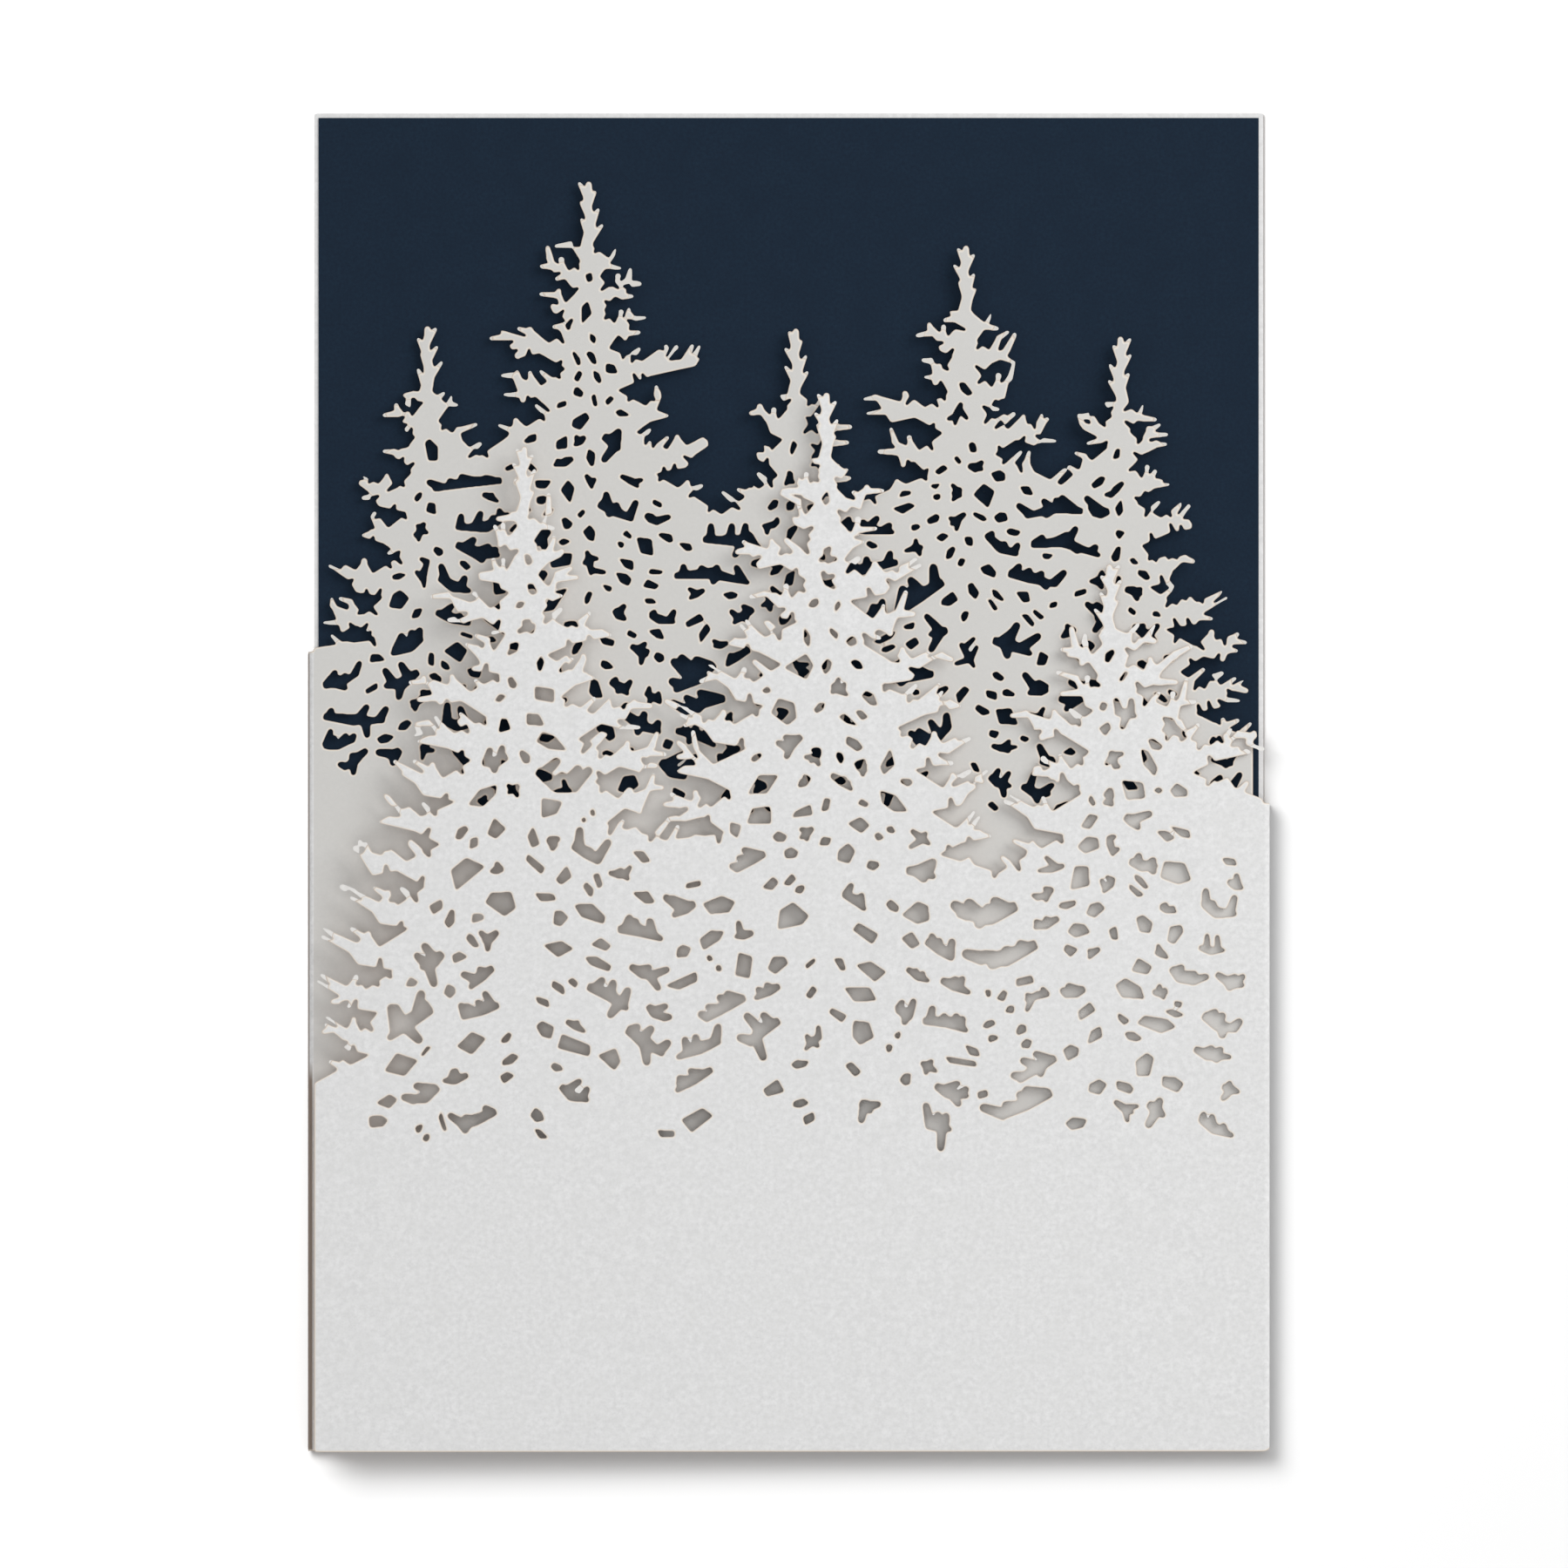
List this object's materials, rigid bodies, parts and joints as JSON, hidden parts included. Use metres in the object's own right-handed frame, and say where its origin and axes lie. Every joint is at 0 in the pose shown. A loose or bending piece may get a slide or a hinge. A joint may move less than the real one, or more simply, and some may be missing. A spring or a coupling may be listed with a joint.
{
  "type": "holiday card",
  "caption": "Folded holiday card of pearl card stock whose overlapping flaps are cut into fir forests over a navy liner; lies flat with its flaps slightly sprung.",
  "frame": {"origin": "centre of the card's overall outline, on its back face", "axes": "+Y towards the card's top edge, +Z out of the front of the card as it lies on its back"},
  "size_m": [0.1278, 0.1778, 0.0058],
  "materials": {
    "pearl_card": "pearl satin",
    "navy_paper": "matt"
  },
  "bodies": {
    "root": {"folded_card": "pearl_card", "navy_liner": "navy_paper"}
  },
  "joints": []
}
